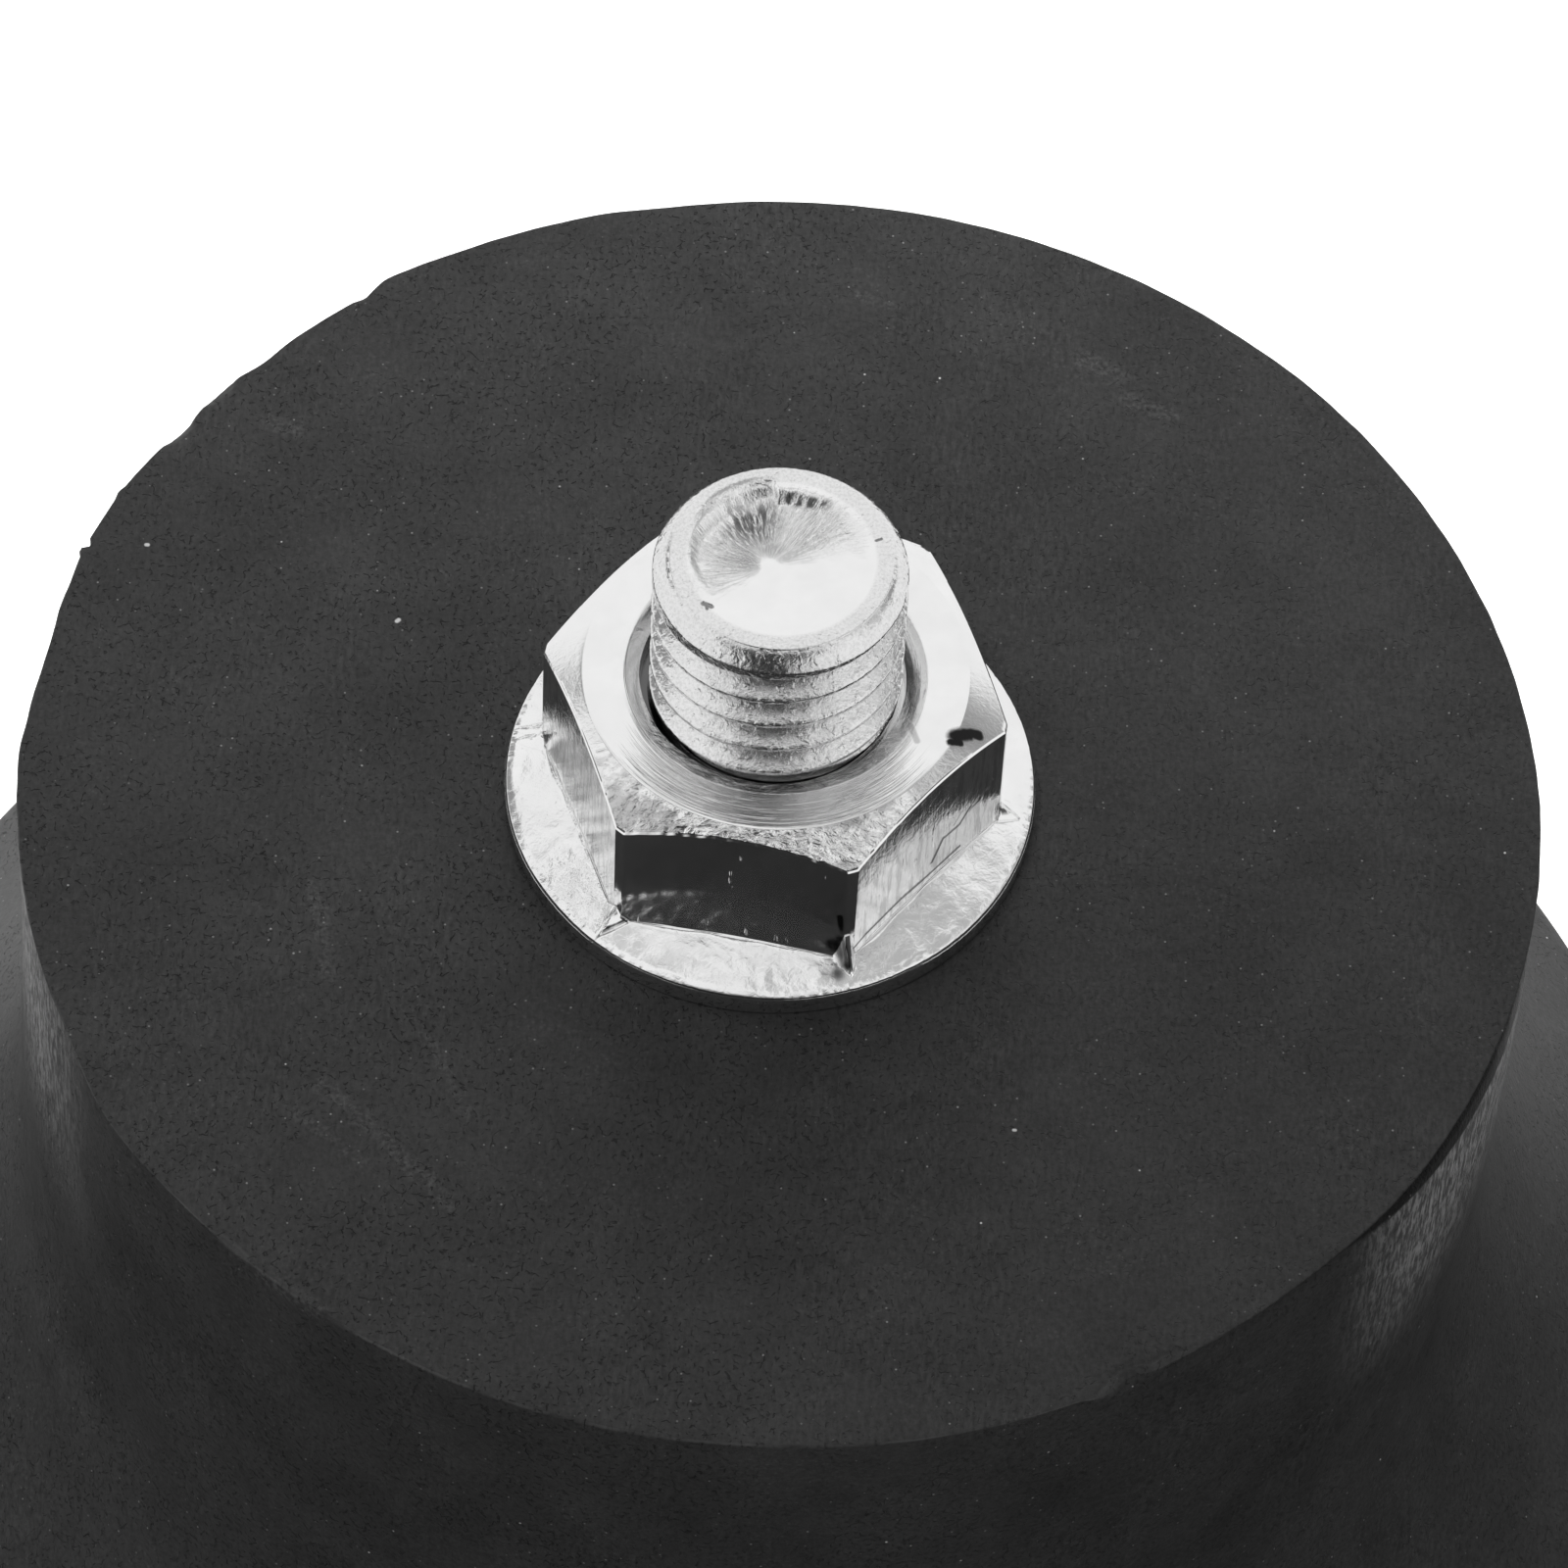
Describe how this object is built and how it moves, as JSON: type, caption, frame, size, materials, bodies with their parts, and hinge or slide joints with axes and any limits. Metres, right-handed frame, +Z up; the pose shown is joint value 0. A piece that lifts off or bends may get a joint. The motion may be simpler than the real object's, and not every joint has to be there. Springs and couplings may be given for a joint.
{
  "type": "anti-vibration mount",
  "caption": "Bell-shaped rubber anti-vibration mount with a flat round seat, a bonded steel plate, an upright threaded stud and a flanged hexagon nut.",
  "frame": {"origin": "centre of the round base, on the floor", "axes": "+Z up along the stud's axis; -Y faces the viewer of the picture"},
  "size_m": [0.064, 0.064, 0.0444],
  "materials": {
    "black_rubber": "matt moulded rubber",
    "plain_steel": "plain pressed steel",
    "zinc_stud": "bright zinc plating on rolled thread",
    "zinc_nut": "bright zinc plating on cold-formed steel"
  },
  "bodies": {
    "root": {"rubber_body": "black_rubber", "anchor_plate": "plain_steel", "threaded_stud": "zinc_stud", "flange_nut": "zinc_nut"}
  },
  "joints": []
}
